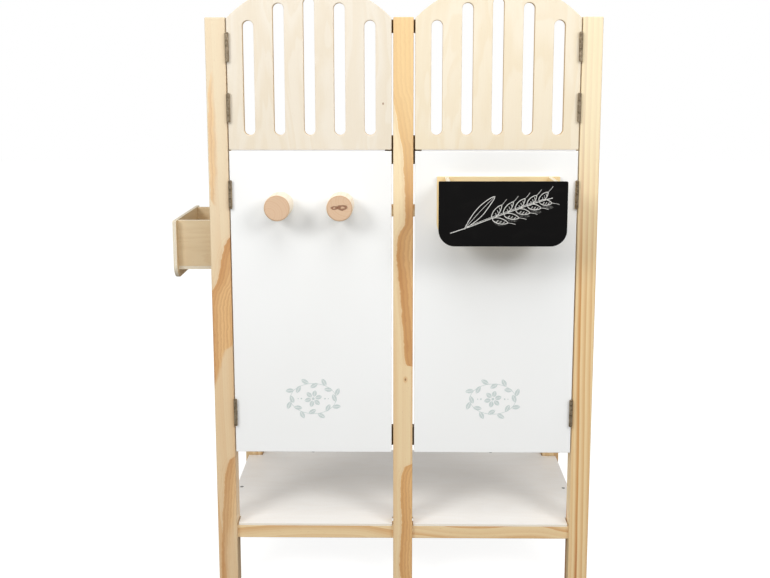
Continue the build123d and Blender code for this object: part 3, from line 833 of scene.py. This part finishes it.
def placeScrews(name, body, kind, places, length=None):
    # one piece for all the screws of a node; each place is a point, a direction and a turn
    bm = bmesh.new()
    for point, outwards, turn in places:
        addScrew(bm, kind, point, outwards, turn, length)
    size = screwKinds[kind]
    return finishPiece(name, bm, metals[size["metal"]], body)


hingePlaces = {"upper": (0.9122, 1.0182), "lower": (0.3492, 0.7568)}
hingeScrews = {"offset": 0.017, "y": -0.012, "doorX": 0.3128, "postX": 0.3132}


def hingeScrewPlaces(level, x, outwards, turn, step):
    # four screws, two to each hinge, each stopped at another angle
    offset = hingeScrews["offset"]
    heights = [middle + up for middle in hingePlaces[level] for up in (-offset, offset)]
    return [((x, hingeScrews["y"], z), (outwards, 0, 0), turn + step * count)
            for count, z in enumerate(heights)]


postPlaces = []
for side, sign in (("left", -1), ("right", 1)):
    for level in ("upper", "lower"):
        door = side + "_" + level
        places = hingeScrewPlaces(level, sign * hingeScrews["doorX"], sign, 13, 37)
        node = door + "_hinge_door_screws"
        piece = placeScrews(node + "_cross_head", door + "_door", "hinge", places)
        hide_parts(node)
        postPlaces += hingeScrewPlaces(level, sign * hingeScrews["postX"], -sign, 5, 29)
piece = placeScrews("hinge_post_screws_cross_head", "frame", "hinge", postPlaces)
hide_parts("hinge_post_screws")

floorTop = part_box("floor_board")[1].z
floorScrews = ((-0.332, 0.154), (0, 0.154), (0.332, 0.154), (-0.2, 0.344), (0.2, 0.344))
places = [((x, y, floorTop), (0, 0, 1), 20 + 31 * count) for count, (x, y) in enumerate(floorScrews)]
piece = placeScrews("floor_screws_cross_head", "frame", "wood", places)
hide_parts("floor_screws")

# rows behind the pegs and inside the two boxes; each screw has a place along its row and a turn
screwRows = {
    "pegs": {"y": -0.006, "z": 0.739, "length": 0.036, "screws": ((-0.2213, 8), (-0.1117, 48))},
    "right box": {"y": -0.025, "z": 0.7685, "length": 0.016, "screws": ((0.11, 15), (0.23, 65))},
    "left box": {"x": -0.35, "z": 0.6775, "length": 0.016, "screws": ((0.095, 33), (0.215, 83))},
}
row = screwRows["pegs"]
places = [((x, row["y"], row["z"]), (0, 1, 0), turn) for x, turn in row["screws"]]
piece = placeScrews("peg_screws_cross_head", "left_lower_door", "wood", places, row["length"])
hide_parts("peg_screws")
row = screwRows["right box"]
places = [((x, row["y"], row["z"]), (0, -1, 0), turn) for x, turn in row["screws"]]
piece = placeScrews("right_feed_box_screws_cross_head", "right_lower_door", "wood", places, row["length"])
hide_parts("right_feed_box_screws")
row = screwRows["left box"]
places = [((row["x"], y, row["z"]), (-1, 0, 0), turn) for y, turn in row["screws"]]
piece = placeScrews("left_feed_box_screws_cross_head", "frame", "wood", places, row["length"])
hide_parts("left_feed_box_screws")
print("screws made")


# The printed wreath on each lower door: an oval of leaves round a small flower
wreath = {"width": 0.098, "height": 0.071, "leaves": 16, "leafLength": 0.0165, "leafWidth": 0.0084,
          "petals": 6, "petalLength": 0.0135, "petalWidth": 0.0086, "lift": 0.00008,
          "stemWidth": 0.0010, "margin": 0.006, "x": 0.1665, "y": -0.018, "z": 0.375,
          "colour": "#cad4d2", "worn": "#dee4e2"}


def alongLine(start, angle, length, aside=0.0):
    # a point at a length along a slanted line, and a little to its left
    return (start[0] + math.cos(angle) * length - math.sin(angle) * aside,
            start[1] + math.sin(angle) * length + math.cos(angle) * aside)


def addLeaf(target, centre, angle, length, width, gap, lift):
    # half a pointed leaf is cut from a disc, then copied across its vein
    part = bmesh.new()
    bmesh.ops.create_circle(part, cap_ends=True, radius=1, segments=24)
    for vert in part.verts:
        vert.co.y *= math.sqrt(max(0.0, 1 - vert.co.x ** 2))
    bmesh.ops.scale(part, vec=(length / 2, width / 2, 1), verts=part.verts)
    bmesh.ops.bisect_plane(part, geom=part.verts[:] + part.edges[:] + part.faces[:],
                           plane_co=(0, gap / 2, 0), plane_no=(0, 1, 0), clear_inner=True)
    thicken(part, lift)
    bmesh.ops.mirror(part, geom=part.verts[:] + part.edges[:] + part.faces[:], axis="Y", merge_dist=0)
    addTo(target, part, Matrix.Translation((*centre, 0)) @ Matrix.Rotation(angle, 4, "Z"))


def addDot(target, centre, radius, lift):
    part = bmesh.new()
    bmesh.ops.create_cone(part, cap_ends=True, segments=20, radius1=radius, radius2=radius * 0.96, depth=lift)
    addTo(target, part, Matrix.Translation((*centre, lift / 2)))


def printMaterial():
    # thin pale ink, patchy as rubber-stamped ink is
    material, tree, shader, place = newMaterial("pale green print")
    patch = addNoise(tree, place, (900, 900, 900), detail=4, rough=0.65)
    cloud = addNoise(tree, place, (110, 110, 110))
    worn = addRange(tree, cloud[0], 0.3, 0.75, 0.35, 1.0)
    worn = times(tree, addRange(tree, patch[0], 0.42, 0.66), worn)
    addFinish(tree, shader, addMix(tree, worn, wreath["colour"], wreath["worn"]), patch[0], 0.45, 0.6)
    addBump(tree, shader, patch[0], 0.00002, 0.3)
    return material


def makeWreath(name, body, x):
    bm = bmesh.new()
    lift = wreath["lift"]
    halfWidth = wreath["width"] / 2 - wreath["margin"]
    halfHeight = wreath["height"] / 2 - wreath["margin"]
    # the stem is an oval line, drawn from a circle widened inwards
    part = bmesh.new()
    line = bmesh.ops.create_circle(part, cap_ends=False, radius=1, segments=72)["verts"]
    bmesh.ops.scale(part, vec=(halfWidth, halfHeight, 1), verts=line)
    grown = bmesh.ops.extrude_edge_only(part, edges=part.edges[:])["geom"]
    stemWidth = wreath["stemWidth"]
    narrowed = (1 - stemWidth / halfWidth, 1 - stemWidth / halfHeight, 1)
    bmesh.ops.scale(part, vec=narrowed, verts=vertsOf(grown))
    thicken(part, lift * 0.7)
    addTo(bm, part, Matrix.Identity(4))
    for index in range(wreath["leaves"]):
        angle = 2 * math.pi * (index + 0.5) / wreath["leaves"]
        along = math.atan2(halfHeight * math.cos(angle), -halfWidth * math.sin(angle))
        lean = along + math.radians(38 if index % 2 else -38)
        foot = (halfWidth * math.cos(angle), halfHeight * math.sin(angle))
        spot = alongLine(foot, lean, wreath["leafLength"] * 0.46)
        addLeaf(bm, spot, lean, wreath["leafLength"], wreath["leafWidth"], 0.0007, lift)
    for index in range(wreath["petals"]):
        angle = 2 * math.pi * (index + 0.25) / wreath["petals"]
        spot = alongLine((0, 0), angle, wreath["petalLength"] * 0.5 + 0.0034)
        addLeaf(bm, spot, angle, wreath["petalLength"], wreath["petalWidth"], 0.0006, lift)
    addDot(bm, (0, 0), 0.0026, lift)
    for sign in (-1, 1):
        addDot(bm, (sign * 0.022, 0.0), 0.0016, lift)
        addDot(bm, (sign * 0.028, 0.0), 0.0011, lift)
    standUp(bm, x, wreath["y"], wreath["z"])
    return finishPiece(name, bm, greenPrint, body)


greenPrint = printMaterial()
makeWreath("left_door_wreath", "left_lower_door", -wreath["x"])
makeWreath("right_door_wreath", "right_lower_door", wreath["x"])
print("wreaths made")


# The chalk drawing on the black board: an ear of oats. Points in millimetres from the board's middle.
chalk = {"x": 0.170, "y": -0.108, "z": 0.735, "wide": 0.0013, "lift": 0.00012,
         "colour": "#f6f5f1", "thin": "#c4c2bc"}
oatStem = [(-90, -34), (-62, -25), (-32, -13), (0, -1), (30, 10), (58, 20), (84, 27)]
oatLeaf = [(-66, -27), (-56, -6), (-36, 18), (-10, 34), (-24, 12), (-40, -10), (-66, -27)]
oatBranches = {"pairs": 5, "start": (-20, -9), "step": (20, 7.4), "slope": 20, "long": 28, "wide": 10}


def chalkMaterial(name, cover, low, high):
    # chalk catches only on the board's high spots
    material, tree, shader, place = newMaterial(name)
    grit = addNoise(tree, place, (1300, 1300, 1300), detail=4, rough=0.65)
    drag = addNoise(tree, place, (260, 260, 260))
    hold = plus(tree, grit[0], times(tree, minus(tree, drag[0], 0.5), 0.5))
    addFinish(tree, shader, addMix(tree, drag[0], chalk["colour"], chalk["thin"]), grit[0], 0.85, 0.95)
    feed(tree, times(tree, addRange(tree, hold, low, high), cover), shader["Alpha"])
    addBump(tree, shader, grit[0], 0.00005)
    return material


def addStroke(target, points, share=1.0, closed=False):
    # a line drawn as a curve, made a mesh and pressed flat on the board
    wide = chalk["wide"] * share
    curve = bpy.data.curves.new("stroke", "CURVE")
    curve.dimensions = "3D"
    curve.bevel_depth = wide / 2
    curve.bevel_resolution = 1
    curve.resolution_u = 5
    spline = curve.splines.new("NURBS")
    spline.points.add(len(points) - 1)
    for spot, (x, y) in zip(spline.points, points):
        spot.co = (x / 1000, y / 1000, 0, 1)
    spline.order_u = 3
    spline.use_endpoint_u = not closed
    spline.use_cyclic_u = closed
    carrier = bpy.data.objects.new("stroke", curve)
    mesh = bpy.data.meshes.new_from_object(carrier)
    part = bmesh.new()
    part.from_mesh(mesh)
    bmesh.ops.scale(part, vec=(1, 1, chalk["lift"] / wide), verts=part.verts)
    addTo(target, part, Matrix.Identity(4))
    bpy.data.objects.remove(carrier)
    bpy.data.curves.remove(curve)
    bpy.data.meshes.remove(mesh)


def ovalPoints(centre, angle, length, width, sharp=0.55, count=12):
    # a grain's outline, pointed at its far end
    outline = []
    for index in range(count):
        turn = 2 * math.pi * index / count
        x = math.cos(turn) * length / 2
        y = math.sin(turn) * width / 2 * (1 - sharp * max(0.0, math.cos(turn)) ** 2)
        outline.append(alongLine(centre, angle, x, y))
    return outline


bm = bmesh.new()
addStroke(bm, oatStem, 1.1)
addStroke(bm, [(x, y + 2.2) for x, y in oatStem[1:-1]], 0.6)
addStroke(bm, oatLeaf)
addStroke(bm, [(-62, -22), (-48, -6), (-32, 12), (-14, 30)], 0.6)
for index in range(oatBranches["pairs"]):
    base = [start + step * index for start, step in zip(oatBranches["start"], oatBranches["step"])]
    for sign in (-1, 1):
        angle = math.radians(oatBranches["slope"] + sign * (34 - 2 * index))
        long = oatBranches["long"] - 1.6 * index
        middle = alongLine(base, angle, long * 0.56)
        addStroke(bm, ovalPoints(middle, angle, long, oatBranches["wide"]), closed=True)
        tip = alongLine(base, angle, long * 1.05)
        awn = math.radians(oatBranches["slope"] + sign * 22)
        addStroke(bm, [tip, alongLine(tip, awn, 6), alongLine(tip, awn, 13, 2 * sign)], 0.55)
        # short shading strokes on the grain's lower side
        for step in (-0.2, 0.0, 0.2):
            foot = alongLine(middle, angle, long * step, -3.4)
            shading = [foot, alongLine(foot, angle, 0.8, 2.2), alongLine(foot, angle, 2.2, 4.0)]
            addStroke(bm, shading, 0.7)
standUp(bm, chalk["x"], chalk["y"], chalk["z"])
whiteChalk = chalkMaterial("white chalk", 1.0, 0.28, 0.46)
finishPiece("chalk_oats", bm, whiteChalk, "right_lower_door", smooth=True)

# rubbed chalk under the grains
bm = bmesh.new()
for index in range(oatBranches["pairs"]):
    place = (-0.006 + 0.020 * index, -0.0165 + 0.0074 * index)
    addLeaf(bm, place, math.radians(-14), 0.024, 0.0095, 0, 0.00005)
standUp(bm, chalk["x"], chalk["y"], chalk["z"])
rubbedChalk = chalkMaterial("rubbed chalk", 0.30, 0.40, 0.72)
finishPiece("chalk_smudge", bm, rubbedChalk, "right_lower_door")
print("chalk drawing made")

# a pale floor, a white backdrop, a soft light each side of the camera, a wide one above it and
# two weak ones behind
studio = {"floorSize": 9.0, "floor": "#a2a2a0", "lift": 0.88, "world": 0.46}
lamps = {"key": {"azimuth": -40, "height": 1.9, "away": 2.4, "size": 1.0, "power": 26},
         "fill": {"azimuth": 40, "height": 1.9, "away": 2.4, "size": 1.0, "power": 22},
         "top": {"azimuth": 0, "height": 2.5, "away": 1.3, "size": 1.6, "power": 18},
         "rear left": {"azimuth": -125, "height": 1.6, "away": 2.2, "size": 1.3, "power": 4.5},
         "rear right": {"azimuth": 125, "height": 1.6, "away": 2.2, "size": 1.3, "power": 4.5}}

bm = bmesh.new()
bmesh.ops.create_grid(bm, x_segments=8, y_segments=8, size=studio["floorSize"])
mesh = bpy.data.meshes.new("studio_floor")
bm.to_mesh(mesh)
bm.free()
studioFloor = addObject("studio_floor", mesh)
material, tree, shader, place = newMaterial("pale studio floor")
dapple = addNoise(tree, place, (3, 3, 3))
feed(tree, addMix(tree, dapple[0], studio["floor"], "#9c9c9a"), shader["Base Color"])
shader["Roughness"].default_value = 0.9
shader["Emission Color"].default_value = (1, 1, 1, 1)
# the floor is lifted to white for the eye alone, so it throws no extra light on the doors
seen = tree.nodes.new("ShaderNodeLightPath").outputs["Is Camera Ray"]
feed(tree, times(tree, seen, studio["lift"]), shader["Emission Strength"])
mesh.materials.append(material)

target = Vector((0, 0, 0.6))
for name, look in lamps.items():
    light = bpy.data.lights.new(name, "AREA")
    light.shape = "DISK"
    light.size = look["size"]
    light.energy = look["power"]
    lamp = addObject(name, light)
    turn = math.radians(look["azimuth"])
    lamp.location = (math.sin(turn) * look["away"], -math.cos(turn) * look["away"], look["height"])
    lamp.rotation_euler = (lamp.location - target).to_track_quat("Z", "Y").to_euler()

world = bpy.data.worlds.new("studio")
world.use_nodes = True
scene.world = world
tree = world.node_tree
# the backdrop is white to the eye and dimmer as a light
sight = tree.nodes.new("ShaderNodeLightPath")
strength = addRange(tree, sight.outputs["Is Camera Ray"], 0.0, 1.0, studio["world"], 1.0, smooth=False)
tree.nodes["Background"].inputs["Color"].default_value = (1, 1, 1, 1)
feed(tree, strength, tree.nodes["Background"].inputs["Strength"])

# the focal length and the shift are in pixels of a picture this wide
pictureWidth = 770
shot = {"place": (-0.01006, -1.75564, 0.97206), "yaw": 0.75, "down": 8.385, "roll": -0.0664,
        "focal": 973.79, "shift": -72}
eye = bpy.data.cameras.new("camera")
eye.sensor_width = 36
eye.lens = shot["focal"] / pictureWidth * eye.sensor_width
eye.shift_y = shot["shift"] / pictureWidth
camera = addObject("camera", eye)
camera.location = shot["place"]
yaw = Matrix.Rotation(math.radians(shot["yaw"]), 3, "Z")
tilt = Matrix.Rotation(math.radians(90 - shot["down"]), 3, "X")
roll = Matrix.Rotation(math.radians(shot["roll"]), 3, "Z")
camera.rotation_euler = (yaw @ tilt @ roll).to_euler()
scene.camera = camera
scene.view_settings.view_transform = "Standard"

print("scene ready")
